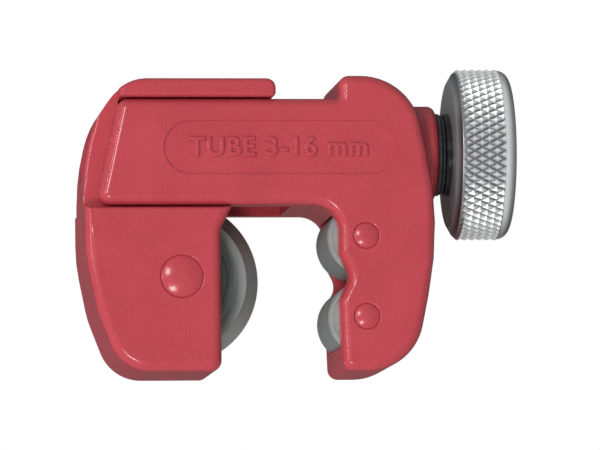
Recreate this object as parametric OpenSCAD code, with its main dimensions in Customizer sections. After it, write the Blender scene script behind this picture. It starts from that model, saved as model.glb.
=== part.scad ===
// Small screw-fed pipe cutter: a sliding jaw carries the cutting wheel, and a
// fixed casting carries two rollers and the feed screw with its knurled knob.
// Sizes are in millimetres. The tool stands on the feet of its two castings.

/* [Cutting wheel] */
// Diameter of the cutting wheel over its edge
wheel_d = 19; // [16:0.1:23]
// Thickness of the wheel's body
wheel_t = 3; // [2:0.1:4]
// Thickness of the wheel where the last bevel starts
wheel_edge_t = 1.3; // [0.8:0.1:1.8]
// Diameter at which the wheel's first bevel starts
wheel_face_d = 16.2; // [13:0.1:19]
// Diameter at which the wheel's last bevel starts
wheel_bevel_d = 17.9; // [14:0.1:22]
// Diameter of the wheel's axle
axle_d = 4.8; // [4:0.1:6]
// Diameter of the spacers beside the wheel
spacer_d = 11; // [9:0.1:15]
// Height of the axle's domed ends
axle_dome = 0.45; // [0.2:0.05:0.8]
// Clear gap between the wheel's edge and the rollers
opening = 7.45; // [6:0.05:9]
// Length of the wheel that stands out of the jaw
wheel_bare = 5; // [4:0.1:6]

/* [Rollers] */
// Diameter of each roller
roller_d = 8.3; // [6.9:0.1:10]
// Gap between the two rollers
roller_gap = 0.9; // [0.4:0.1:2]
// Width of the chamfer on each roller's ends
roller_chamfer = 0.25; // [0.1:0.05:0.5]
// Diameter of each roller's pin
roller_pin_d = 2.9; // [2.4:0.1:3.6]
// Height of the roller pins' domed ends
pin_dome = 0.3; // [0.2:0.05:0.5]
// How far the rollers stand out of the frame's cheeks
roller_proud = 1.1; // [0.6:0.1:1.8]

/* [Feed screw and knob] */
// Outside diameter of the feed screw
screw_d = 5; // [4:0.1:6]
// Travel of the jaw from rest until it is fully open
open_travel = 8; // [6:0.1:9.6]
// Distance that the wheel's edge keeps from the rollers when closed
nip = 0.25; // [0.1:0.05:0.5]
// Wall of the feed nut
nut_wall = 0.8; // [0.6:0.1:1.2]
// Length of the feed nut
nut_l = 3.2; // [3:0.1:5]
// Diameter of the knob
knob_d = 19.8; // [16:0.1:24]
// Diameter of the thrust flange on the screw
flange_d = 6.4; // [5.6:0.1:7]
// Thickness of the thrust flange
flange_t = 0.95; // [0.6:0.05:1.4]
// Depth by which the stub at the screw's left end is turned down
stub_step = 0.9; // [0.5:0.05:1.2]
// Depth by which the spigot inside the knob is turned down
spigot_step = 0.5; // [0.3:0.05:0.8]
// Thickness of the stop ring on the stub
ring_t = 0.6; // [0.4:0.05:1]
// Length of the stub beyond the stop ring
stub_tip = 0.4; // [0.2:0.05:0.8]
// Height of the riveted end in the knob's recess
rivet_h = 0.35; // [0.2:0.05:0.5]
// Width of the knob
knob_w = 6.9; // [5:0.1:9]
// Radial height of the chamfer on the knob's inner side
knob_chamfer_r = 1.45; // [0.5:0.05:2]
// Width of the chamfer on the knob's inner side
knob_chamfer_w = 0.7; // [0.3:0.05:1]
// Radius of the knob's outer edge
knob_round = 1.8; // [1:0.1:2.2]
// Diameter of the recess in the knob's outer face
knob_recess_d = 10; // [8:0.1:12]
// Depth of the recess in the knob's outer face
knob_recess = 0.6; // [0.3:0.1:1]
// Diameter of the washers and the collar beside the knob
hub_d = 9.5; // [8:0.1:10.5]
// Thickness of the thrust washer
thrust_t = 0.5; // [0.3:0.05:0.8]
// Thickness of the spring washer
spring_t = 0.4; // [0.2:0.05:0.6]
// Thickness of the knob's collar
collar_t = 0.65; // [0.4:0.05:1]

/* [Castings] */
// Thickness of both castings from front to back
body_t = 18; // [15:0.1:22]
// Thickness of the jaw's cheeks and of the beam's side plates
side_t = 3.2; // [2.4:0.1:4]
// Thickness of the frame's cheeks beside the rollers
cheek_t = 2.7; // [2:0.1:3.4]
// Height of the cutting wheel above the feet
foot_gap = 1.3; // [0.8:0.1:2]
// Web of the frame below the lower roller
foot_web = 1.7; // [1.2:0.1:2.4]
// Height that the wheel reaches into the beam
wheel_rise = 1.3; // [0.8:0.1:1.8]
// Gap between the wheel and the feed screw
screw_gap = 2.7; // [2.5:0.1:3.5]
// Wall of the beam above its channel
beam_wall = 1.6; // [1.2:0.1:2.4]
// Height of the jaw's rail above the beam
rail_t = 2.15; // [1.6:0.05:3]
// Height of the frame's hump above the screw axis
hump_h = 8.3; // [8:0.1:10]
// Wall of the jaw beyond the wheel's pocket
jaw_wall = 1.15; // [0.9:0.05:2]
// Width of the jaw's end web at the beam
web_t = 4.05; // [3:0.05:5]
// Wall of the frame behind the rollers
back_wall = 4.75; // [4:0.05:6]
// Wall of the jaw's stem below the feed nut
stem_floor = 1.4; // [1:0.1:2]
// Wall of the jaw's stem above the feed nut
stem_roof = 0.6; // [0.4:0.05:1]
// Lip of the stem that the feed nut seats against
stem_lip = 0.7; // [0.5:0.05:1.2]
// Clear space between the closed jaw and the thrust flange
stem_gap = 1.2; // [0.6:0.1:2]
// Wall between the wheel at the closed jaw and the channel's end
channel_spare = 0.8; // [0.4:0.1:1.5]
// Length of the rounded shoulder above the rollers
shoulder = 3.6; // [3:0.1:5]
// Setback of the hump's end from the cheeks
hump_set = 0.15; // [0:0.05:0.5]
// Length of the boss beyond the back of the frame
boss_proud = 0.1; // [0.1:0.05:1]
// Diameter of the boss around the feed screw
boss_d = 11.2; // [10.6:0.1:12.4]
// Length of the shallow label recess
label_l = 26.8; // [20:0.1:28]
// Height of the shallow label recess
label_h = 6.2; // [4:0.1:7]
// Depth of the shallow label recess
label_depth = 0.2; // [0.1:0.05:0.4]
// Distance of the label recess from the middle of the body, towards the knob
label_shift = 1.9; // [0:0.1:3]
// Setback of the spring washer's rim from the thrust washer's
spring_set = 0.15; // [0.05:0.05:0.4]

/* [Clearances] */
// Radial clearance of a shaft in its bore
running_clear = 0.05; // [0.03:0.01:0.1]
// End clearance of the wheel and the rollers
end_clear = 0.1; // [0.05:0.01:0.2]
// Clearance between the jaw and the beam
slide_clear = 0.15; // [0.1:0.01:0.25]
// Clearance around the wheel and the rollers in their pockets
pocket_clear = 0.3; // [0.2:0.05:0.5]
// Radial clearance of the screw where it passes the stem's lip
lip_clear = 0.2; // [0.1:0.05:0.4]

/* [Hidden] */
$fn = 96;

// Largest turn of one facet along an outline's rounded corner, in degrees
arc_step = 6;
// Overlap of a cutting shape past the face that it cuts
cut = 1;
painted = [0.72, 0.18, 0.22];
steel = [0.55, 0.56, 0.57];
black_steel = [0.12, 0.12, 0.13];
nickel = [0.72, 0.73, 0.74];
brass = [0.78, 0.62, 0.3];

// Heights, measured from the feet
roller_pitch = roller_d + roller_gap;
cut_h = max(wheel_d / 2 + foot_gap,
            roller_pitch / 2 + roller_d / 2 + pocket_clear + foot_web);
axis_h = cut_h + wheel_d / 2 + screw_gap + screw_d / 2;
beam_bottom = cut_h + wheel_d / 2 - wheel_rise;
nut_d = screw_d + 2 * nut_wall;
stem_bottom = axis_h - nut_d / 2 - stem_floor;
stem_top = axis_h + nut_d / 2 + stem_roof;
channel_top = stem_top + slide_clear;
beam_top = channel_top + beam_wall;
rail_bottom = beam_top + slide_clear;
rail_top = rail_bottom + rail_t;
hump_top = axis_h + hump_h;

// Lengths, measured from the plane through the roller axes
wheel_x = -(roller_d / 2 + opening + wheel_d / 2);
close_travel = opening - nip;
jaw_left = wheel_x - wheel_d / 2 - pocket_clear - jaw_wall;
jaw_right = wheel_x + wheel_d / 2 - wheel_bare;
web_right = jaw_left + web_t;
fork_end = web_right + close_travel + 2 * slide_clear;
cheek_left = roller_proud - roller_d / 2;
hump_left = cheek_left + hump_set;
rail_tip = hump_left - close_travel - running_clear;
wheel_chord = sqrt(pow(wheel_d / 2, 2) - pow(beam_bottom - cut_h, 2));
channel_end = wheel_x + close_travel + wheel_chord + channel_spare;
back_right = roller_d / 2 + back_wall;
boss_end = back_right + boss_proud;
flange_left = channel_end - running_clear - flange_t;
stem_right = flange_left - close_travel - stem_gap;
nut_left = stem_right - stem_lip - nut_l;
ring_right = nut_left - open_travel - end_clear;
tip_left = ring_right - ring_t - stub_tip;
collar_left = boss_end + thrust_t + spring_t + running_clear;
knob_left = collar_left + collar_t;
knob_right = knob_left + knob_w;
middle_x = (min(jaw_left, tip_left) + knob_right) / 2;

// Widths, from front to back
slot_w = body_t - 2 * side_t;
stem_w = slot_w - 2 * slide_clear;
roller_slot_w = body_t - 2 * cheek_t;
roller_l = roller_slot_w - 2 * end_clear;
spacer_t = (slot_w - wheel_t) / 2 - end_clear;

// Radii of the screw where it is turned down
stub_r = screw_d / 2 - stub_step;
spigot_r = screw_d / 2 - spigot_step;

// Corner points are [x, height, radius]; a radius of 0 leaves a sharp corner
frame_corners = [
    [jaw_left + 1.35, beam_bottom, 1.3],
    [jaw_left + 4.05, beam_top, 1.2],
    [hump_left, beam_top, 0.3],
    [hump_left, hump_top, 1.2],
    [back_right - shoulder, hump_top, 7],
    [back_right, cut_h + 6.2, 40],
    [back_right - 3.5, 0, 6.5],
    [cheek_left + 0.3, 0, 1.2],
    [cheek_left, cut_h - 2.6, 2],
    [cheek_left + 1.3, cut_h, 2],
    [cheek_left, cut_h + 2.6, 2],
    [cheek_left, beam_bottom, 2.9]
];
jaw_corners = [
    [jaw_left + 4.65, rail_top, 5],
    [jaw_left + 1.4, axis_h + 3.5, 10],
    [jaw_left, axis_h - 2.1, 25],
    [jaw_left, cut_h + 2.8, 20],
    [jaw_left + 1.3, cut_h - 3.7, 12],
    [jaw_left + 4.05, 0, 5],
    [jaw_right, 0, 1.3],
    [jaw_right, beam_bottom - 2.8, 2.5],
    [jaw_right + 1.35, beam_bottom - slide_clear, 0],
    [web_right, beam_bottom - slide_clear, 0.3],
    [web_right, rail_bottom, 0.3],
    [rail_tip, rail_bottom, 0.6],
    [rail_tip, rail_top, 1.1]
];

function unit(v) = v / norm(v);

// Points of the arc of radius r that rounds the corner b between a and c
function corner_arc(a, b, c, r) =
    let (
        back = unit(a - b),
        ahead = unit(c - b),
        half = acos(back * ahead) / 2,
        centre = b + unit(back + ahead) * r / sin(half),
        first = b + back * r / tan(half) - centre,
        last = b + ahead * r / tan(half) - centre,
        start = atan2(first.y, first.x),
        turn = atan2(first.x * last.y - first.y * last.x, first * last),
        steps = ceil(abs(turn) / arc_step)
    )
    [for (i = [0:steps]) centre + r * [cos(start + turn * i / steps), sin(start + turn * i / steps)]];

function flat(p) = [p.x, p.y];

function rounded_outline(corners) =
    let (n = len(corners))
    [for (i = [0:n - 1])
        each corners[i].z > 0
            ? corner_arc(flat(corners[(i + n - 1) % n]), flat(corners[i]),
                         flat(corners[(i + 1) % n]), corners[i].z)
            : [flat(corners[i])]];

// Moves a piece from the rollers' plane to the middle of the whole tool
module placed() {
    translate([-middle_x, 0, 0]) children();
}

// Extrudes a front view, drawn in x and height, evenly to both sides
module slab(depth) {
    rotate([90, 0, 0]) linear_extrude(depth, center = true) children();
}

// A round bar along y, centred front to back
module bar_y(x, z, r, length) {
    translate([x, 0, z]) rotate([90, 0, 0]) cylinder(h = length, r = r, center = true);
}

// A round bar along x on the feed screw's axis
module bar_x(from, to, r) {
    translate([from, 0, axis_h]) rotate([0, 90, 0]) cylinder(h = to - from, r = r);
}

// A block from one corner to the other, centred front to back
module block(x0, x1, z0, z1, depth) {
    translate([x0, -depth / 2, z0]) cube([x1 - x0, depth, z1 - z0]);
}

// A ring on the feed screw's axis
module ring_x(from, to, r_in, r_out) {
    difference() {
        bar_x(from, to, r_out);
        bar_x(from - cut, to + cut, r_in);
    }
}

// A shallow dome of base radius r that stands on the front face
module front_dome(x, z, r, height) {
    ball_r = (r * r + height * height) / (2 * height);
    intersection() {
        translate([x, -body_t / 2 - height + ball_r, z]) sphere(r = ball_r);
        translate([x, -body_t / 2, z]) rotate([90, 0, 0]) cylinder(h = height, r = r);
    }
}

// A pin through both cheeks with a domed end on each side
module domed_pin(x, z, r, dome) {
    bar_y(x, z, r, body_t);
    front_dome(x, z, r, dome);
    mirror([0, 1, 0]) front_dome(x, z, r, dome);
}

// The shallow oblong recess for a marking, on the front face
module label_recess() {
    label_x = (jaw_left + back_right) / 2 + label_shift;
    translate([label_x, -body_t / 2, axis_h]) rotate([90, 0, 0]) {
        for (side = [-1, 1])
            translate([side * (label_l - label_h) / 2, 0, -label_depth])
                cylinder(h = label_depth + cut, d = label_h);
        translate([-(label_l - label_h) / 2, -label_h / 2, -label_depth])
            cube([label_l - label_h, label_h, label_depth + cut]);
    }
}

// The pocket that the two rollers turn in
module roller_pocket() {
    r = roller_d / 2 + pocket_clear;
    for (side = [-1, 1])
        bar_y(0, cut_h + side * roller_pitch / 2, r, roller_slot_w);
    block(cheek_left - cut, roller_d / 4, cut_h - roller_pitch / 2,
          cut_h + roller_pitch / 2, roller_slot_w);
}

// Fixed casting: the beam, the hump, the boss and the leg with the rollers
module frame_casting() {
    color(painted) placed() difference() {
        union() {
            slab(body_t) polygon(rounded_outline(frame_corners));
            bar_x(back_right - shoulder, boss_end, boss_d / 2);
        }
        block(jaw_left - cut, channel_end, beam_bottom - cut, channel_top, slot_w);
        block(jaw_left - cut, fork_end, beam_bottom - cut, beam_top + cut, slot_w);
        bar_x(channel_end - cut, boss_end + cut, screw_d / 2 + running_clear);
        roller_pocket();
        for (side = [-1, 1])
            bar_y(0, cut_h + side * roller_pitch / 2, roller_pin_d / 2, body_t + cut);
        label_recess();
        mirror([0, 1, 0]) label_recess();
    }
}

// Rollers with chamfered ends, one above the other
module roller(side) {
    r = roller_d / 2;
    bore_r = roller_pin_d / 2 + running_clear;
    half = roller_l / 2;
    color(steel) placed()
        translate([0, 0, cut_h + side * roller_pitch / 2])
            rotate([90, 0, 0]) rotate_extrude() polygon([
                [bore_r, -half],
                [r - roller_chamfer, -half],
                [r, -half + roller_chamfer],
                [r, half - roller_chamfer],
                [r - roller_chamfer, half],
                [bore_r, half]
            ]);
}

module upper_roller() {
    roller(1);
}

module lower_roller() {
    roller(-1);
}

module upper_roller_pin() {
    color(painted) placed()
        domed_pin(0, cut_h + roller_pitch / 2, roller_pin_d / 2, pin_dome);
}

module lower_roller_pin() {
    color(painted) placed()
        domed_pin(0, cut_h - roller_pitch / 2, roller_pin_d / 2, pin_dome);
}

// Sliding casting: rail above the beam, end web, stem in the channel and wheel cheeks
module jaw_casting() {
    top_z = beam_bottom - slide_clear;
    color(painted) placed() difference() {
        union() {
            slab(stem_w) polygon(rounded_outline(jaw_corners));
            intersection() {
                slab(body_t) polygon(rounded_outline(jaw_corners));
                union() {
                    block(jaw_left - cut, jaw_right + 2 * cut, -cut, top_z, body_t + cut);
                    block(web_right, rail_tip + cut, rail_bottom, rail_top + cut, body_t + cut);
                }
            }
            block(web_right - cut, stem_right, stem_bottom, stem_top, stem_w);
        }
        bar_y(wheel_x, cut_h, wheel_d / 2 + pocket_clear, slot_w);
        block(wheel_x, jaw_right + 2 * cut, cut_h - wheel_d / 2 - pocket_clear,
              top_z + cut, slot_w);
        bar_y(wheel_x, cut_h, axle_d / 2, body_t + cut);
        bar_x(jaw_left - cut, stem_right - stem_lip, nut_d / 2);
        bar_x(nut_left, stem_right + cut, screw_d / 2 + lip_clear);
    }
}

// Hardened wheel with a double bevel up to its edge
module cutting_wheel() {
    bore_r = axle_d / 2 + running_clear;
    color(steel) placed() translate([wheel_x, 0, cut_h])
        rotate([90, 0, 0]) rotate_extrude() polygon([
            [bore_r, -wheel_t / 2],
            [wheel_face_d / 2, -wheel_t / 2],
            [wheel_bevel_d / 2, -wheel_edge_t / 2],
            [wheel_d / 2, 0],
            [wheel_bevel_d / 2, wheel_edge_t / 2],
            [wheel_face_d / 2, wheel_t / 2],
            [bore_r, wheel_t / 2]
        ]);
}

// A plain sleeve that keeps the wheel in the middle of its slot
module wheel_spacer(side) {
    middle_y = side * (slot_w / 2 - spacer_t / 2);
    color(steel) placed() translate([wheel_x, middle_y, cut_h]) rotate([90, 0, 0])
        difference() {
            cylinder(h = spacer_t, d = spacer_d, center = true);
            cylinder(h = spacer_t + cut, d = axle_d, center = true);
        }
}

module wheel_spacer_front() {
    wheel_spacer(-1);
}

module wheel_spacer_rear() {
    wheel_spacer(1);
}

module wheel_axle() {
    color(painted) placed() domed_pin(wheel_x, cut_h, axle_d / 2, axle_dome);
}

// Threaded insert, seated from the left against the stem's lip
module feed_nut() {
    color(brass) placed()
        ring_x(nut_left, stem_right - stem_lip, screw_d / 2 + running_clear, nut_d / 2);
}

// Screw with a stub for the stop ring, a thrust flange, a journal and a spigot
module feed_screw() {
    seat = knob_right - knob_recess;
    color(steel) placed() {
        bar_x(tip_left, ring_right, stub_r);
        bar_x(ring_right, knob_left, screw_d / 2);
        bar_x(flange_left, flange_left + flange_t, flange_d / 2);
        bar_x(knob_left, seat, spigot_r);
        bar_x(seat, seat + rivet_h, screw_d / 2);
    }
}

module screw_stop_ring() {
    color(black_steel) placed()
        ring_x(ring_right - ring_t, ring_right, stub_r, nut_d / 2 - spigot_step);
}

module thrust_washer() {
    color(black_steel) placed()
        ring_x(boss_end, boss_end + thrust_t, screw_d / 2 + 2 * running_clear, hub_d / 2);
}

module spring_washer() {
    left = boss_end + thrust_t;
    color(black_steel) placed()
        ring_x(left, left + spring_t, screw_d / 2 + 2 * running_clear, hub_d / 2 - spring_set);
}

module knob_collar() {
    color(black_steel) placed()
        ring_x(collar_left, knob_left, screw_d / 2, hub_d / 2);
}

// Knob with a chamfer towards the frame and a rounded outer edge
module knob() {
    r = knob_d / 2;
        round_arc = [for (i = [0:15:90])
        [r - knob_round + knob_round * cos(i), knob_w - knob_round + knob_round * sin(i)]];
    outline = concat(
        [[spigot_r, 0], [r - knob_chamfer_r, 0], [r, knob_chamfer_w]],
        round_arc,
        [[knob_recess_d / 2, knob_w], [knob_recess_d / 2, knob_w - knob_recess],
         [spigot_r, knob_w - knob_recess]]
    );
    color(nickel) placed() translate([knob_left, 0, axis_h])
        rotate([0, 90, 0]) rotate_extrude() polygon(outline);
}

frame_casting();
upper_roller();
lower_roller();
upper_roller_pin();
lower_roller_pin();
jaw_casting();
cutting_wheel();
wheel_spacer_front();
wheel_spacer_rear();
wheel_axle();
feed_nut();
feed_screw();
screw_stop_ring();
thrust_washer();
spring_washer();
knob_collar();
knob();
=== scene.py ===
"""Finish, light and view for the small pipe cutter.

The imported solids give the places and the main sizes. The two castings are rounded and
painted, the knob gets its knurl, the screw its thread, and the turned pieces
get their chamfers and grooves. Lengths are in metres.
"""
import math
import bmesh
import bpy
from mathutils import Matrix, Vector


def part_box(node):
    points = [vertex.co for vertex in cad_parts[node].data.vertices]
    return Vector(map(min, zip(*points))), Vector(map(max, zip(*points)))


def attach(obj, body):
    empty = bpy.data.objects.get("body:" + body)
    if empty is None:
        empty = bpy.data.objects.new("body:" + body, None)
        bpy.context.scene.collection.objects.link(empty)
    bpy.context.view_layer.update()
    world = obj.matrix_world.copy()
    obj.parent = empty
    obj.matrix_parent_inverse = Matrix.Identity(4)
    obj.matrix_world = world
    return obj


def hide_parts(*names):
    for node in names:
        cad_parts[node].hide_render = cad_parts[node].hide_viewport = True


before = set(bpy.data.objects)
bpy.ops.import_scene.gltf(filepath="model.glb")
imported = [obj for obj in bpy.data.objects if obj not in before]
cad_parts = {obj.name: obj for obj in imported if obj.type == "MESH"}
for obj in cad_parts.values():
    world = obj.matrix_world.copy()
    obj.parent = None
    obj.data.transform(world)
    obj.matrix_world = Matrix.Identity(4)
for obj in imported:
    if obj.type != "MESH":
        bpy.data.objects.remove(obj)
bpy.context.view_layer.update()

MM = 0.001
FLAT = 0.999
SAME_SPOT = 1e-6
POLE_R = 0.01 * MM


# ---------------------------------------------------------------- mesh helpers

def select_only(piece):
    bpy.ops.object.select_all(action="DESELECT")
    piece.select_set(True)
    bpy.context.view_layer.objects.active = piece


def open_edit(piece, kind="VERT"):
    """Edit mode on one piece with nothing selected."""
    select_only(piece)
    bpy.ops.object.mode_set(mode="EDIT")
    bpy.ops.mesh.select_mode(type=kind)
    bpy.ops.mesh.select_all(action="DESELECT")


def close_edit():
    """Closes doubled seams, turns the faces outwards and leaves edit mode."""
    bpy.ops.mesh.select_all(action="SELECT")
    bpy.ops.mesh.remove_doubles(threshold=SAME_SPOT)
    bpy.ops.mesh.normals_make_consistent(inside=False)
    bpy.ops.object.mode_set(mode="OBJECT")


def pick_verts(piece, test):
    """In edit mode, selects the vertices whose place passes the test."""
    mesh = bmesh.from_edit_mesh(piece.data)
    for vertex in mesh.verts:
        vertex.select_set(bool(test(vertex.co)))
    mesh.select_flush_mode()
    bmesh.update_edit_mesh(piece.data)


def apply_modifier(piece, kind, **settings):
    select_only(piece)
    modifier = piece.modifiers.new(kind.title(), kind)
    for name, value in settings.items():
        setattr(modifier, name, value)
    bpy.ops.object.modifier_apply(modifier=modifier.name)


def smooth(piece, degrees=30):
    select_only(piece)
    bpy.ops.object.shade_smooth_by_angle(angle=math.radians(degrees))
    apply_modifier(piece, "WEIGHTED_NORMAL", keep_sharp=True)


def settle(piece, place):
    """Keeps the lathe's own place of each point, then puts the mesh in its place."""
    mesh = piece.data
    marks = mesh.attributes.new("lathe_place", "FLOAT_VECTOR", "POINT")
    for mark, vertex in zip(marks.data, mesh.vertices):
        mark.vector = vertex.co / MM
    mesh.transform(place)


def put_on(piece, body, slot, material, *nodes):
    """The piece takes the place of its solids, on their body, in their finish."""
    piece.data.materials.clear()
    piece.data.materials.append(material)
    if nodes:
        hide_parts(*nodes)
    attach(piece, body)


def draw_up(name, outline, sides=128):
    """A ring-shaped solid, drawn up from a circle by one ring for each (radius, height)."""
    radius, height = outline[0]
    bpy.ops.object.select_all(action="DESELECT")
    bpy.ops.mesh.primitive_circle_add(vertices=sides, radius=radius, location=(0, 0, height))
    piece = bpy.context.object
    piece.name = name
    bpy.ops.object.mode_set(mode="EDIT")
    bpy.ops.mesh.select_mode(type="EDGE")
    bpy.ops.mesh.select_all(action="SELECT")
    for (radius, height), (next_radius, next_height) in zip(outline, outline[1:] + outline[:1]):
        share = next_radius / radius
        bpy.ops.mesh.extrude_edges_move(
            TRANSFORM_OT_translate={"value": (0, 0, next_height - height)})
        bpy.ops.transform.resize(value=(share, share, 1), center_override=(0, 0, 0))
    close_edit()
    select_only(piece)
    bpy.ops.object.transform_apply()
    return piece


def turned(name, outline, place, sides=128):
    piece = draw_up(name, outline, sides)
    settle(piece, place)
    smooth(piece)
    return piece


def ring_outline(inner, outer, bottom, top, chamfer):
    """Outline of a plain ring with a small chamfer on its four rims."""
    return [
        (inner, bottom + chamfer), (inner + chamfer, bottom),
        (outer - chamfer, bottom), (outer, bottom + chamfer),
        (outer, top - chamfer), (outer - chamfer, top),
        (inner + chamfer, top), (inner, top - chamfer),
    ]


# ------------------------------------------------- places that the solids give

class Bar:
    """Middle, radius and half length of a round solid along one axis."""

    def __init__(self, node, axis):
        low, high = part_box(node)
        across = "x" if axis == "y" else "y"
        self.low = low
        self.high = high
        self.middle = (low + high) / 2
        self.radius = (getattr(high, across) - getattr(low, across)) / 2
        self.half = (getattr(high, axis) - getattr(low, axis)) / 2


casting_low, casting_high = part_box("frame_casting")
jaw_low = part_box("jaw_casting")[0]
knob = Bar("knob", "x")
wheel = Bar("cutting_wheel", "y")
screw = Bar("feed_screw", "x")
HALF_BODY = casting_high.y
AXIS_Z = knob.middle.z
# Half the thickness of the jaw's end web, and the heights between which its rim is rounded
HALF_WEB = 5.65 * MM
WEB_LOW = 20.6 * MM
WEB_HIGH = 29.2 * MM


def across_body(bar):
    """Stands a lathe piece, made along z, across the body at the bar's middle."""
    place = Matrix.Translation((bar.middle.x, bar.middle.y, bar.middle.z))
    return place @ Matrix.Rotation(math.radians(90), 4, "X")


def on_screw_axis():
    """Lays a lathe piece, made along z, on the feed screw's axis with its heights along x."""
    return Matrix.Translation((0, 0, AXIS_Z)) @ Matrix.Rotation(math.radians(90), 4, "Y")


# ------------------------------------------------------------------- castings

FILLET = 1.1 * MM
# Shares of the fillet at the boss's end, on the rail, on the web and at the pins' holes
BOSS_SHARE = 0.8
RAIL_SHARE = 0.45
WEB_SHARE = 0.4
HOLE_SHARE = 0.2


def casting_copy(node, name, heights):
    """The solid's own surface, joined into one clean mesh with large flat faces.

    The faces are cut level at the given heights, so that none has a hole in it.
    """
    piece = bpy.data.objects.new(name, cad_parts[node].data.copy())
    bpy.context.scene.collection.objects.link(piece)
    open_edit(piece)
    bpy.ops.mesh.customdata_custom_splitnormals_clear()
    bpy.ops.mesh.select_all(action="SELECT")
    bpy.ops.mesh.remove_doubles(threshold=SAME_SPOT)
    for height in heights:
        bpy.ops.mesh.select_all(action="SELECT")
        bpy.ops.mesh.bisect(plane_co=(0, 0, height), plane_no=(0, 0, 1))
        bpy.ops.mesh.mark_seam()
    bpy.ops.mesh.select_all(action="SELECT")
    bpy.ops.mesh.dissolve_limited(angle_limit=math.radians(0.5), delimit={"SEAM"})
    close_edit()
    return piece


def is_ridge(edge):
    return len(edge.link_faces) == 2 and edge.calc_face_angle_signed(0) > math.radians(25)


def side_of_rim(edge, half_width):
    """The side face at a ridge around a face at this distance from the middle, or None."""
    if not is_ridge(edge):
        return None
    first, second = edge.link_faces
    for flat, side in ((first, second), (second, first)):
        at_face = abs(abs(flat.calc_center_median().y) - half_width) < 0.02 * MM
        if at_face and abs(flat.normal.y) > FLAT and abs(side.normal.y) < 0.1:
            return side
    return None


def middle_of(edge):
    return (edge.verts[0].co + edge.verts[1].co) / 2


UPPER_PIN = Bar("upper_roller_pin", "y")
LOWER_PIN = Bar("lower_roller_pin", "y")
AXLE = Bar("wheel_axle", "y")


def at_pin_hole(spot):
    for pin in (UPPER_PIN, LOWER_PIN, AXLE):
        if math.hypot(spot.x - pin.middle.x, spot.z - pin.middle.z) < pin.radius + 0.1 * MM:
            return True
    return False


def frame_rounding(edge):
    """Share of the large fillet that one edge of the fixed casting gets."""
    recess_wall = 0.3 * MM
    bore_rim = 3 * MM
    spot = middle_of(edge)
    side = side_of_rim(edge, HALF_BODY)
    if side is not None:
        if at_pin_hole(spot):
            return HOLE_SHARE
        if abs(side.calc_center_median().y) > HALF_BODY - recess_wall:
            return 0
        return 1
    at_boss_end = is_ridge(edge) and spot.x > casting_high.x - 0.01 * MM
    if at_boss_end and math.hypot(spot.y, spot.z - AXIS_Z) > bore_rim:
        return BOSS_SHARE
    return 0


def jaw_rounding(edge):
    """Share of the large fillet that one edge of the sliding casting gets."""
    web_end = jaw_low.x + 3 * MM
    spot = middle_of(edge)
    side = side_of_rim(edge, HALF_BODY)
    if side is not None:
        if at_pin_hole(spot):
            return HOLE_SHARE
        on_rail = spot.z > AXIS_Z
        on_block_top = side.normal.z > FLAT
        return RAIL_SHARE if on_rail or on_block_top else 1
    if side_of_rim(edge, HALF_WEB) is not None and WEB_LOW < spot.z < WEB_HIGH:
        return WEB_SHARE if spot.x < web_end else 0
    return 0


def round_edges(piece, share_of):
    mesh = bmesh.new()
    mesh.from_mesh(piece.data)
    shares = mesh.edges.layers.float.new("bevel_weight_edge")
    for edge in mesh.edges:
        edge[shares] = share_of(edge)
    mesh.to_mesh(piece.data)
    mesh.free()
    apply_modifier(piece, "BEVEL", width=FILLET, segments=5, limit_method="WEIGHT",
                   use_clamp_overlap=False)
    smooth(piece, 35)


def make_castings(paint):
    fixed = casting_copy("frame_casting", "rounded_frame",
                         (UPPER_PIN.middle.z, LOWER_PIN.middle.z, AXIS_Z))
    round_edges(fixed, frame_rounding)
    put_on(fixed, "frame", "painted_casting", paint, "frame_casting")
    jaw = casting_copy("jaw_casting", "rounded_jaw", (AXLE.middle.z, AXIS_Z))
    round_edges(jaw, jaw_rounding)
    put_on(jaw, "jaw", "painted_casting", paint, "jaw_casting")


def make_marking(paint):
    """The working range of the tool, raised inside the oblong recess."""
    letter_size = 3 * MM
    middle_x = -2.6 * MM
    sunk = 0.1 * MM
    bpy.ops.object.select_all(action="DESELECT")
    bpy.ops.object.text_add()
    text = bpy.context.object
    text.name = "size_marking"
    text.data.body = "TUBE 3-16 mm"
    text.data.align_x = "CENTER"
    text.data.align_y = "CENTER"
    text.data.size = letter_size
    text.data.space_character = 1.1
    text.data.extrude = 0.02 * MM
    text.data.bevel_depth = 0.12 * MM
    text.data.offset = -0.01 * MM
    text.data.bevel_resolution = 4
    bpy.ops.object.convert(target="MESH")
    piece = bpy.context.object
    place = Matrix.Translation((middle_x, casting_low.y + sunk, AXIS_Z))
    place = place @ Matrix.Rotation(math.radians(90), 4, "X")
    open_edit(piece)
    close_edit()
    settle(piece, place)
    smooth(piece)
    put_on(piece, "frame", "painted_casting", paint)


# ---------------------------------------------------------------- turned steel

def make_wheel(steel):
    """Hardened wheel: hub land, ground flank, two bevels and a fine edge."""
    r = wheel.radius
    half = wheel.half
    bore = 2.5 * MM
    land = 6.5 * MM
    groove = half - 0.06 * MM
    outline_half = [
        (bore, half), (land, half), (land + 0.1 * MM, groove), (land + 0.4 * MM, groove),
        (land + 0.5 * MM, half - 0.01 * MM), (r - 1.45 * MM, half - 0.02 * MM),
        (r - 0.57 * MM, 0.68 * MM), (r - 0.5 * MM, 0.56 * MM), (r - 0.06 * MM, 0.09 * MM),
        (r, 0.02 * MM),
    ]
    mirrored = [(radius, -height) for radius, height in reversed(outline_half)]
    piece = turned("wheel", outline_half + mirrored, across_body(wheel), 192)
    put_on(piece, "cutting_wheel", "wheel_steel", steel, "cutting_wheel")


def make_spacer(node, steel):
    bar = Bar(node, "y")
    bore = 2.4 * MM
    chamfer = 0.18 * MM
    outline = ring_outline(bore, bar.radius, -bar.half, bar.half, chamfer)
    piece = turned(node.replace("wheel_", "turned_"), outline, across_body(bar))
    # The spacers take the wheel's steel at its darkest painted shade, as if in shadow between
    # the cheeks
    put_on(piece, "jaw", "wheel_steel", steel, node)


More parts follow.
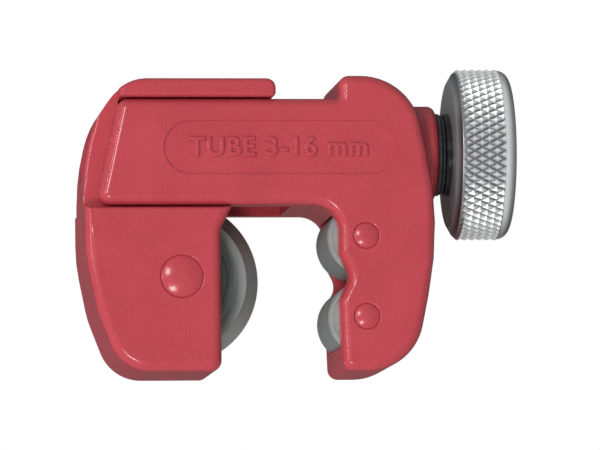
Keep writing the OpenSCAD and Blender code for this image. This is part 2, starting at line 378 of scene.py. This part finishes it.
def make_roller(node, steel):
    """Roller with a fine groove in each end face and a chamfered rim."""
    bar = Bar(node, "y")
    r = bar.radius
    half = bar.half
    bore = 1.5 * MM
    bore_chamfer = 0.15 * MM
    rim_chamfer = 0.28 * MM
    groove = half - 0.1 * MM
    outline_half = [
        (bore, half - bore_chamfer), (bore + bore_chamfer, half), (r - 0.8 * MM, half),
        (r - 0.75 * MM, groove), (r - 0.55 * MM, groove), (r - 0.5 * MM, half),
        (r - rim_chamfer, half), (r, half - rim_chamfer),
    ]
    mirrored = [(radius, -height) for radius, height in reversed(outline_half)]
    piece = turned("turned_" + node, outline_half + mirrored, across_body(bar))
    put_on(piece, node, "roller_steel", steel, node)


def make_pin(node, body, paint):
    """A pin whose two ends are shallow domes, each set in a fine groove."""
    bar = Bar(node, "y")
    groove_w = 0.12 * MM
    groove_depth = 0.12 * MM
    below_solid = 0.04 * MM
    steps = 10
    cap_r = bar.radius - groove_w
    dome = bar.half - HALF_BODY - below_solid
    ball_r = (cap_r ** 2 + dome ** 2) / (2 * dome)
    outline_half = [(POLE_R, HALF_BODY + dome)]
    for step in range(1, steps + 1):
        radius = cap_r * step / steps
        drop = ball_r - math.sqrt(ball_r ** 2 - radius ** 2)
        outline_half.append((radius, HALF_BODY + dome - drop))
    outline_half += [(cap_r + groove_w / 2, HALF_BODY - groove_depth / 3),
                     (bar.radius, HALF_BODY - groove_depth)]
    mirrored = [(radius, -height) for radius, height in reversed(outline_half)]
    piece = turned("domed_" + node, outline_half + mirrored, across_body(bar), 96)
    put_on(piece, body, "painted_casting", paint, node)


# ------------------------------------------------------------ screw and washers

PITCH = 0.8 * MM
STUB_R = 1.6 * MM


def make_washer(node, body, inner, steel, chamfer=0.08 * MM):
    bar = Bar(node, "x")
    outline = ring_outline(inner, bar.radius, bar.low.x, bar.high.x, chamfer)
    piece = turned("turned_" + node, outline, on_screw_axis())
    put_on(piece, body, "blackened_steel", steel, node)


def make_nut(brass):
    bar = Bar("feed_nut", "x")
    bore = 2.55 * MM
    chamfer = 0.25 * MM
    outline = ring_outline(bore, bar.radius, bar.low.x, bar.high.x, chamfer)
    piece = turned("brass_nut", outline, on_screw_axis())
    put_on(piece, "jaw", "nut_brass", brass, "feed_nut")


def make_stop_ring(steel):
    """An open clip ring: a rectangle swept round the stub with a gap left in it."""
    bar = Bar("screw_stop_ring", "x")
    inner = STUB_R
    wide = bar.radius - inner
    thick = bar.high.x - bar.low.x
    bpy.ops.object.select_all(action="DESELECT")
    bpy.ops.mesh.primitive_plane_add(size=1, rotation=(math.radians(90), 0, 0),
                                     location=(inner + wide / 2, 0, bar.middle.x))
    piece = bpy.context.object
    piece.name = "clip_ring"
    piece.scale = (wide, thick, 1)
    bpy.ops.object.transform_apply()
    open_edit(piece, "FACE")
    bpy.ops.mesh.select_all(action="SELECT")
    bpy.ops.mesh.spin(steps=60, angle=math.radians(310), center=(0, 0, 0), axis=(0, 0, 1))
    close_edit()
    settle(piece, on_screw_axis())
    apply_modifier(piece, "BEVEL", width=0.06 * MM, segments=2)
    smooth(piece)
    put_on(piece, "screw", "blackened_steel", steel, "screw_stop_ring")


def make_thread(root, crest, start, turns):
    """A helical ridge: one turn swept in small steps, then repeated along the axis."""
    steps = 32
    base = PITCH * 0.42
    crest_share = 0.2
    bpy.ops.object.select_all(action="DESELECT")
    bpy.ops.mesh.primitive_plane_add(size=1, rotation=(math.radians(90), 0, 0),
                                     location=(root + (crest - root) / 2, 0, start))
    piece = bpy.context.object
    piece.name = "screw_thread"
    piece.scale = (crest - root, 2 * base, 1)
    bpy.ops.object.transform_apply()
    open_edit(piece)
    pick_verts(piece, lambda co: co.x > (root + crest) / 2)
    bpy.ops.transform.resize(value=(1, 1, crest_share), center_override=(0, 0, start))
    bpy.ops.mesh.select_all(action="SELECT")
    bpy.ops.mesh.delete(type="ONLY_FACE")
    bpy.ops.mesh.select_mode(type="EDGE")
    bpy.ops.mesh.select_all(action="SELECT")
    for _ in range(steps):
        bpy.ops.mesh.extrude_edges_move(
            TRANSFORM_OT_translate={"value": (0, 0, PITCH / steps)})
        bpy.ops.transform.rotate(value=math.radians(360) / steps, orient_axis="Z",
                                 center_override=(0, 0, 0))
    bpy.ops.object.mode_set(mode="OBJECT")
    apply_modifier(piece, "ARRAY", count=turns, use_relative_offset=False,
                   use_constant_offset=True, constant_offset_displace=(0, 0, PITCH),
                   use_merge_vertices=True, merge_threshold=SAME_SPOT * 5)
    open_edit(piece)
    bpy.ops.mesh.select_all(action="SELECT")
    bpy.ops.mesh.fill_holes(sides=0)
    close_edit()
    return piece


def make_screw(steel):
    """Stub, threaded length, thrust flange, journal, spigot and riveted end."""
    ring = Bar("screw_stop_ring", "x")
    left = screw.low.x
    right = screw.high.x
    spigot = 2 * MM
    body = 2.5 * MM
    root = 2.02 * MM
    crest = 2.45 * MM
    flange = screw.radius
    flange_left = -2.02 * MM
    flange_right = -1.07 * MM
    thread_end = flange_left - 1 * MM
    chamfer = 0.12 * MM
    stub_chamfer = 0.2 * MM
    head = right - 0.35 * MM
    dimple = 0.6 * MM
    outline = [
        (POLE_R, left + dimple), (0.55 * MM, left), (STUB_R - stub_chamfer, left),
        (STUB_R, left + stub_chamfer), (STUB_R, ring.high.x), (root - 0.1 * MM, ring.high.x),
        (root, ring.high.x + 0.1 * MM), (root, thread_end),
        (body, flange_left - 0.6 * MM), (body, flange_left),
        (flange - chamfer, flange_left), (flange, flange_left + chamfer),
        (flange, flange_right - chamfer), (flange - chamfer, flange_right),
        (body, flange_right), (body, knob.low.x), (spigot, knob.low.x),
        (spigot, head), (body, head), (body, right - 0.2 * MM),
        (body - 0.35 * MM, right), (0.7 * MM, right), (POLE_R, right - dimple),
    ]
    piece = draw_up("screw", outline, 96)
    start = ring.high.x + PITCH
    turns = int((thread_end - start) / PITCH)
    thread = make_thread(root - 0.05 * MM, crest, start, turns)
    select_only(piece)
    thread.select_set(True)
    bpy.ops.object.join()
    settle(piece, on_screw_axis())
    smooth(piece)
    put_on(piece, "screw", "screw_steel", steel, "feed_screw")


# ----------------------------------------------------------------------- knob

KNURL_SIDES = 130
KNURL_ROWS = 6
KNURL_STEP = 0.86 * MM
KNURL_START = 1.1 * MM
KNURL_CREST = 9.89 * MM
KNURL_VALLEY = 9.48 * MM


def is_valley(co):
    """Whether a point of the knurled rows belongs to the grooves and not to the tips."""
    row = round((co.z - knob.low.x - KNURL_START) / KNURL_STEP)
    column = round(math.atan2(co.x, co.y) / math.radians(360) * KNURL_SIDES)
    return (row + column) % 2 == 1


def make_knob(nickel):
    """Disc with a chamfered rim, rows of diamonds, a rounded edge and a shallow recess."""
    left = knob.low.x
    right = knob.high.x
    chamfer_r = knob.radius - 1.45 * MM
    band = KNURL_CREST - 0.12 * MM
    arc_r = 1.3 * MM
    valley_start = left + 0.7 * MM
    bore = 2 * MM
    recess_r = 5 * MM
    recess_chamfer = 0.2 * MM
    seat = right - 0.6 * MM
    outline = [(bore, left), (chamfer_r - 0.12 * MM, left), (chamfer_r, left + 0.03 * MM),
               (KNURL_VALLEY - 0.02 * MM, left + 0.62 * MM), (KNURL_VALLEY, valley_start)]
    for row in range(KNURL_ROWS):
        outline.append((KNURL_CREST, left + KNURL_START + row * KNURL_STEP))
    for degrees in range(0, 91, 15):
        turn = math.radians(degrees)
        outline.append((band - arc_r + arc_r * math.cos(turn),
                        right - arc_r + arc_r * math.sin(turn)))
    outline += [(recess_r + recess_chamfer, right), (recess_r, right - recess_chamfer),
                (recess_r, seat), (bore, seat)]
    piece = draw_up("knurled_knob", outline, KNURL_SIDES)
    last_row = left + KNURL_START + (KNURL_ROWS - 1) * KNURL_STEP
    share = KNURL_VALLEY / KNURL_CREST
    open_edit(piece)
    pick_verts(piece, lambda co: left + 0.8 * MM < co.z < last_row + 0.1 * MM
               and math.hypot(co.x, co.y) > KNURL_VALLEY and is_valley(co))
    bpy.ops.transform.resize(value=(share, share, 1), center_override=(0, 0, 0))
    close_edit()
    open_edit(piece, "FACE")
    mesh = bmesh.from_edit_mesh(piece.data)
    for face in mesh.faces:
        spot = face.calc_center_median()
        in_band = valley_start < spot.z < right - arc_r + 0.5 * MM
        face.select_set(in_band and math.hypot(spot.x, spot.y) > KNURL_VALLEY - 0.2 * MM)
    bmesh.update_edit_mesh(piece.data)
    bpy.ops.mesh.quads_convert_to_tris(quad_method="SHORTEST_DIAGONAL")
    close_edit()
    settle(piece, on_screw_axis())
    smooth(piece, 12)
    put_on(piece, "screw", "knob_nickel", nickel, "knob")


# ----------------------------------------------------------- shader node groups

def link(tree, start, end):
    tree.links.new(start, end)


def add_node(tree, kind, **settings):
    made = tree.nodes.new(kind)
    for name, value in settings.items():
        if name.startswith("in_"):
            made.inputs[name[3:].replace("_", " ")].default_value = value
        else:
            setattr(made, name, value)
    return made


def new_group(name, inputs, outputs):
    """A shader node group with named number inputs and outputs, and its two end nodes."""
    group = bpy.data.node_groups.new(name, "ShaderNodeTree")
    for label, value in inputs:
        socket = group.interface.new_socket(label, in_out="INPUT", socket_type="NodeSocketFloat")
        socket.default_value = value
    for label in outputs:
        group.interface.new_socket(label, in_out="OUTPUT", socket_type="NodeSocketFloat")
    return group, group.nodes.new("NodeGroupInput"), group.nodes.new("NodeGroupOutput")


def orange_peel_group():
    """The gentle waves and fine grit of sprayed enamel on a casting, as a height."""
    group, start, end = new_group(
        "orange peel", [("Wave Size", 900.0), ("Grit Size", 5200.0), ("Grit", 1.0)],
        ["Height"])
    place = add_node(group, "ShaderNodeTexCoord")
    waves = add_node(group, "ShaderNodeTexNoise", in_Detail=2.0, in_Roughness=0.5)
    grit = add_node(group, "ShaderNodeTexNoise", in_Detail=1.0, in_Roughness=0.6)
    peaks = add_node(group, "ShaderNodeMapRange", in_From_Min=0.56, in_From_Max=0.72)
    strong = add_node(group, "ShaderNodeMath", operation="MULTIPLY")
    total = add_node(group, "ShaderNodeMath", operation="ADD")
    link(group, place.outputs["Object"], waves.inputs["Vector"])
    link(group, place.outputs["Object"], grit.inputs["Vector"])
    link(group, start.outputs["Wave Size"], waves.inputs["Scale"])
    link(group, start.outputs["Grit Size"], grit.inputs["Scale"])
    link(group, grit.outputs["Fac"], peaks.inputs["Value"])
    link(group, peaks.outputs["Result"], strong.inputs[0])
    link(group, start.outputs["Grit"], strong.inputs[1])
    link(group, waves.outputs["Fac"], total.inputs[0])
    link(group, strong.outputs["Value"], total.inputs[1])
    link(group, total.outputs["Value"], end.inputs["Height"])
    return group


def turning_group():
    """Fine rings left by turning, from a point's distance to the lathe's axis and its height."""
    group, start, end = new_group(
        "turning marks", [("Fineness", 9.0), ("Depth", 1.0)],
        ["Height", "Streaks", "Radius"])
    place = add_node(group, "ShaderNodeAttribute", attribute_name="lathe_place")
    split = add_node(group, "ShaderNodeSeparateXYZ")
    flat = add_node(group, "ShaderNodeCombineXYZ")
    radius = add_node(group, "ShaderNodeVectorMath", operation="LENGTH")
    pair = add_node(group, "ShaderNodeCombineXYZ")
    rings = add_node(group, "ShaderNodeTexNoise", in_Detail=3.0, in_Roughness=0.7)
    smear = add_node(group, "ShaderNodeTexNoise", in_Scale=0.9, in_Detail=3.0)
    deep = add_node(group, "ShaderNodeMath", operation="MULTIPLY")
    mixed = add_node(group, "ShaderNodeMath", operation="MULTIPLY")
    link(group, place.outputs["Vector"], split.inputs["Vector"])
    link(group, split.outputs["X"], flat.inputs["X"])
    link(group, split.outputs["Y"], flat.inputs["Y"])
    link(group, flat.outputs["Vector"], radius.inputs[0])
    link(group, radius.outputs["Value"], pair.inputs["X"])
    link(group, split.outputs["Z"], pair.inputs["Y"])
    link(group, pair.outputs["Vector"], rings.inputs["Vector"])
    link(group, start.outputs["Fineness"], rings.inputs["Scale"])
    link(group, place.outputs["Vector"], smear.inputs["Vector"])
    link(group, rings.outputs["Fac"], deep.inputs[0])
    link(group, start.outputs["Depth"], deep.inputs[1])
    link(group, rings.outputs["Fac"], mixed.inputs[0])
    link(group, smear.outputs["Fac"], mixed.inputs[1])
    link(group, deep.outputs["Value"], end.inputs["Height"])
    link(group, mixed.outputs["Value"], end.inputs["Streaks"])
    link(group, radius.outputs["Value"], end.inputs["Radius"])
    return group


def handling_group():
    """Soft blotches from handling, as a mask."""
    group, start, end = new_group("handling", [("Blotch Size", 160.0)], ["Blotches"])
    place = add_node(group, "ShaderNodeTexCoord")
    blotch = add_node(group, "ShaderNodeTexNoise", in_Detail=4.0, in_Roughness=0.6)
    link(group, place.outputs["Object"], blotch.inputs["Vector"])
    link(group, start.outputs["Blotch Size"], blotch.inputs["Scale"])
    link(group, blotch.outputs["Fac"], end.inputs["Blotches"])
    return group


# ------------------------------------------------------------------- materials

# Range of the turning marks' streaks
STREAKS = (0.15, 0.4)
# Distances from the axis in mm over which painted shade, darkest at the wheel's hub and on its
# spacers, fades towards its lighter rim
WHEEL_PAINTED_SHADE = (5.6, 8.7)
# Distances from the axis in mm over which painted shade in the knurl's grooves fades out towards
# its tips
KNURL_PAINTED_SHADE = (9.5, 9.78)
# Distances from the axis in mm, from the knob's flat faces to its fully metallic band
KNOB_SHEEN = (8.3, 9.2)


def new_material(name):
    material = bpy.data.materials.new(name)
    material.use_nodes = True
    tree = material.node_tree
    return material, tree, tree.nodes["Principled BSDF"]


def use_group(tree, group, **values):
    made = add_node(tree, "ShaderNodeGroup", node_tree=group)
    for name, value in values.items():
        made.inputs[name.replace("_", " ")].default_value = value
    return made


def spread(tree, source, low, high, from_min=0.3, from_max=0.7):
    """A number between low and high, as the source goes over its range."""
    made = add_node(tree, "ShaderNodeMapRange", in_From_Min=from_min, in_From_Max=from_max,
                    in_To_Min=low, in_To_Max=high)
    link(tree, source, made.inputs["Value"])
    return made.outputs["Result"]


def blend_colours(tree, source, first, second):
    made = add_node(tree, "ShaderNodeMix", data_type="RGBA")
    made.inputs[6].default_value = (*first, 1)
    made.inputs[7].default_value = (*second, 1)
    link(tree, source, made.inputs[0])
    return made.outputs[2]


def bumped(tree, shader, height, distance, strength=1.0):
    bump = add_node(tree, "ShaderNodeBump", in_Distance=distance, in_Strength=strength)
    link(tree, height, bump.inputs["Height"])
    link(tree, bump.outputs["Normal"], shader.inputs["Normal"])


def red_enamel(peel, handling):
    material, tree, shader = new_material("red_enamel")
    texture = use_group(tree, peel)
    touch = use_group(tree, handling)
    colour = blend_colours(tree, spread(tree, touch.outputs["Blotches"], 0, 1),
                           (0.395, 0.038, 0.053), (0.435, 0.046, 0.061))
    link(tree, colour, shader.inputs["Base Color"])
    link(tree, spread(tree, touch.outputs["Blotches"], 0.24, 0.34), shader.inputs["Roughness"])
    shader.inputs["Specular IOR Level"].default_value = 0.1
    shader.inputs["Coat Weight"].default_value = 0.42
    shader.inputs["Coat Roughness"].default_value = 0.16
    bumped(tree, shader, texture.outputs["Height"], 0.05 * MM, 0.75)
    return material


def turned_steel(name, turning, dark, light, rough_low, rough_high, metallic=1.0):
    material, tree, shader = new_material(name)
    marks = use_group(tree, turning, Fineness=9.0)
    colour = blend_colours(tree, spread(tree, marks.outputs["Streaks"], 0, 1, *STREAKS),
                           dark, light)
    link(tree, colour, shader.inputs["Base Color"])
    shader.inputs["Metallic"].default_value = metallic
    link(tree, spread(tree, marks.outputs["Streaks"], rough_low, rough_high, *STREAKS),
         shader.inputs["Roughness"])
    bumped(tree, shader, marks.outputs["Height"], 0.003 * MM, 0.4)
    return material


def wheel_steel_of(turning):
    """Hardened steel with painted shade: dark at the hub and on the spacers, lighter towards the
    ground rim.
    """
    material, tree, shader = new_material("hardened_steel_painted_shade")
    marks = use_group(tree, turning, Fineness=9.0)
    # Painted shade: the colour goes from near black at the hub to light grey at the rim
    towards_rim = spread(tree, marks.outputs["Radius"], 0, 1, *WHEEL_PAINTED_SHADE)
    colour = blend_colours(tree, towards_rim, (0.05, 0.059, 0.055), (0.27, 0.29, 0.28))
    link(tree, colour, shader.inputs["Base Color"])
    shader.inputs["Metallic"].default_value = 0.5
    link(tree, spread(tree, marks.outputs["Streaks"], 0.44, 0.54, *STREAKS),
         shader.inputs["Roughness"])
    bumped(tree, shader, marks.outputs["Height"], 0.014 * MM, 0.7)
    return material


def knob_nickel(turning, handling):
    """Satin plate, with painted shade that darkens the grooves between the diamonds."""
    material, tree, shader = new_material("satin_nickel_painted_shade")
    marks = use_group(tree, turning, Fineness=7.0)
    touch = use_group(tree, handling)
    # Painted shade: the colour darkens from the knurl's tips into its grooves
    groove = spread(tree, marks.outputs["Radius"], 0, 1, *KNURL_PAINTED_SHADE)
    colour = blend_colours(tree, groove, (0.26, 0.27, 0.275), (0.72, 0.735, 0.735))
    link(tree, colour, shader.inputs["Base Color"])
    link(tree, spread(tree, marks.outputs["Radius"], 0.4, 1, *KNOB_SHEEN),
         shader.inputs["Metallic"])
    link(tree, spread(tree, touch.outputs["Blotches"], 0.34, 0.44), shader.inputs["Roughness"])
    bumped(tree, shader, marks.outputs["Height"], 0.01 * MM, 0.5)
    return material


def black_oxide(turning):
    material, tree, shader = new_material("black_oxide")
    marks = use_group(tree, turning, Fineness=8.0)
    colour = blend_colours(tree, spread(tree, marks.outputs["Streaks"], 0, 1, *STREAKS),
                           (0.012, 0.012, 0.014), (0.035, 0.035, 0.038))
    link(tree, colour, shader.inputs["Base Color"])
    shader.inputs["Metallic"].default_value = 0.6
    link(tree, spread(tree, marks.outputs["Streaks"], 0.2, 0.36, *STREAKS),
         shader.inputs["Roughness"])
    bumped(tree, shader, marks.outputs["Height"], 0.01 * MM, 0.5)
    return material


# ------------------------------------------------------------- light and camera

def make_floor():
    """A pale floor just under the feet, seen only from above and clear to every other ray."""
    gap = 0.02 * MM
    bpy.ops.object.select_all(action="DESELECT")
    bpy.ops.mesh.primitive_plane_add(size=2, location=(0, 0, -gap))
    floor = bpy.context.object
    floor.name = "floor"
    material, tree, shader = new_material("pale_floor")
    shader.inputs["Base Color"].default_value = (0.8, 0.8, 0.8, 1)
    shader.inputs["Roughness"].default_value = 0.7
    side = add_node(tree, "ShaderNodeNewGeometry")
    ray = add_node(tree, "ShaderNodeLightPath")
    from_above = add_node(tree, "ShaderNodeMath", operation="SUBTRACT", use_clamp=True)
    clear = add_node(tree, "ShaderNodeBsdfTransparent")
    either = add_node(tree, "ShaderNodeMixShader")
    link(tree, ray.outputs["Is Camera Ray"], from_above.inputs[0])
    link(tree, side.outputs["Backfacing"], from_above.inputs[1])
    link(tree, from_above.outputs["Value"], either.inputs["Fac"])
    link(tree, clear.outputs["BSDF"], either.inputs[1])
    link(tree, shader.outputs["BSDF"], either.inputs[2])
    link(tree, either.outputs["Shader"], tree.nodes["Material Output"].inputs["Surface"])
    floor.data.materials.append(material)


def make_world():
    """White to look at, a soft light that is stronger from the left and from below,
    and dim where the tool mirrors what lies beyond it."""
    world = bpy.data.worlds.new("white_studio")
    bpy.context.scene.world = world
    world.use_nodes = True
    tree = world.node_tree
    backdrop = tree.nodes["Background"]
    direction = add_node(tree, "ShaderNodeTexCoord")
    split = add_node(tree, "ShaderNodeSeparateXYZ")
    fill_from = add_node(tree, "ShaderNodeVectorMath", operation="DOT_PRODUCT")
    fill_from.inputs[1].default_value = (-0.5, -0.1, -0.45)
    fill = add_node(tree, "ShaderNodeMapRange", in_From_Min=-0.7, in_From_Max=0.7,
                    in_To_Min=-0.05, in_To_Max=1.16)
    depth = add_node(tree, "ShaderNodeMapRange", in_From_Min=0.1, in_From_Max=0.8,
                     in_To_Min=0.8, in_To_Max=0.1)
    mirrored = add_node(tree, "ShaderNodeBackground")
    seen = add_node(tree, "ShaderNodeBackground", in_Strength=1.0)
    for shown in (backdrop, mirrored, seen):
        shown.inputs["Color"].default_value = (1, 1, 1, 1)
    ray = add_node(tree, "ShaderNodeLightPath")
    gloss = add_node(tree, "ShaderNodeMixShader")
    either = add_node(tree, "ShaderNodeMixShader")
    link(tree, direction.outputs["Generated"], fill_from.inputs[0])
    link(tree, fill_from.outputs["Value"], fill.inputs["Value"])
    link(tree, fill.outputs["Result"], backdrop.inputs["Strength"])
    link(tree, direction.outputs["Generated"], split.inputs["Vector"])
    link(tree, split.outputs["Y"], depth.inputs["Value"])
    link(tree, depth.outputs["Result"], mirrored.inputs["Strength"])
    link(tree, ray.outputs["Is Glossy Ray"], gloss.inputs["Fac"])
    link(tree, backdrop.outputs["Background"], gloss.inputs[1])
    link(tree, mirrored.outputs["Background"], gloss.inputs[2])
    link(tree, ray.outputs["Is Camera Ray"], either.inputs["Fac"])
    link(tree, gloss.outputs["Shader"], either.inputs[1])
    link(tree, seen.outputs["Background"], either.inputs[2])
    link(tree, either.outputs["Shader"], tree.nodes["World Output"].inputs["Surface"])


def make_light(name, place, size, power):
    bpy.ops.object.select_all(action="DESELECT")
    bpy.ops.object.light_add(type="AREA", location=place)
    light = bpy.context.object
    light.name = name
    light.data.shape = "RECTANGLE"
    light.data.size = size[0]
    light.data.size_y = size[1]
    light.data.energy = power
    aim = Vector((0, 0, 17 * MM)) - Vector(place)
    light.rotation_euler = aim.to_track_quat("-Z", "Y").to_euler()


def make_camera():
    """A long lens, a little below the tool and to its left, rolled a fraction of a degree."""
    distance = 686 * MM
    turn = math.radians(6.1)
    climb = math.radians(5.1)
    roll = math.radians(-0.65)
    ahead = Vector((math.sin(turn) * math.cos(climb), math.cos(turn) * math.cos(climb),
                    math.sin(climb)))
    aim = Vector((-0.32 * MM, -HALF_BODY, 16.6 * MM))
    data = bpy.data.cameras.new("front_view")
    data.lens = 361.9
    data.sensor_width = 36
    camera = bpy.data.objects.new("front_view", data)
    bpy.context.scene.collection.objects.link(camera)
    look = ahead.to_track_quat("-Z", "Y").to_matrix().to_4x4()
    camera.matrix_world = (Matrix.Translation(aim - ahead * distance) @ look
                           @ Matrix.Rotation(roll, 4, "Z"))
    bpy.context.scene.camera = camera


def build():
    peel = orange_peel_group()
    turning = turning_group()
    handling = handling_group()
    paint = red_enamel(peel, handling)
    wheel_steel = wheel_steel_of(turning)
    roller_steel = turned_steel("satin_steel", turning, (0.26, 0.275, 0.27),
                                (0.3, 0.315, 0.31), 0.42, 0.5, 0.45)
    screw_steel = turned_steel("machined_steel", turning, (0.35, 0.35, 0.35),
                               (0.55, 0.55, 0.55), 0.25, 0.4)
    brass = turned_steel("machined_brass", turning, (0.5, 0.33, 0.12),
                         (0.66, 0.46, 0.18), 0.22, 0.36)
    nickel = knob_nickel(turning, handling)
    black = black_oxide(turning)

    make_castings(paint)
    make_marking(paint)
    make_wheel(wheel_steel)
    make_spacer("wheel_spacer_front", wheel_steel)
    make_spacer("wheel_spacer_rear", wheel_steel)
    make_roller("upper_roller", roller_steel)
    make_roller("lower_roller", roller_steel)
    make_pin("wheel_axle", "jaw", paint)
    make_pin("upper_roller_pin", "frame", paint)
    make_pin("lower_roller_pin", "frame", paint)
    make_nut(brass)
    make_screw(screw_steel)
    make_stop_ring(black)
    make_washer("thrust_washer", "frame", 2.6 * MM, black)
    make_washer("spring_washer", "frame", 2.6 * MM, black)
    make_washer("knob_collar", "screw", 2.5 * MM, black)
    make_knob(nickel)

    make_floor()
    make_world()
    make_light("left_lamp", (-0.31, -0.66, 0.19), (0.1, 0.14), 1.5)
    make_light("low_lamp", (-0.19, -0.68, -0.25), (0.15, 0.1), 1.8)
    make_light("side_strip", (-0.56, -0.46, 0.1), (0.05, 0.3), 0.9)
    make_camera()
    bpy.context.scene.view_settings.view_transform = "Standard"


build()
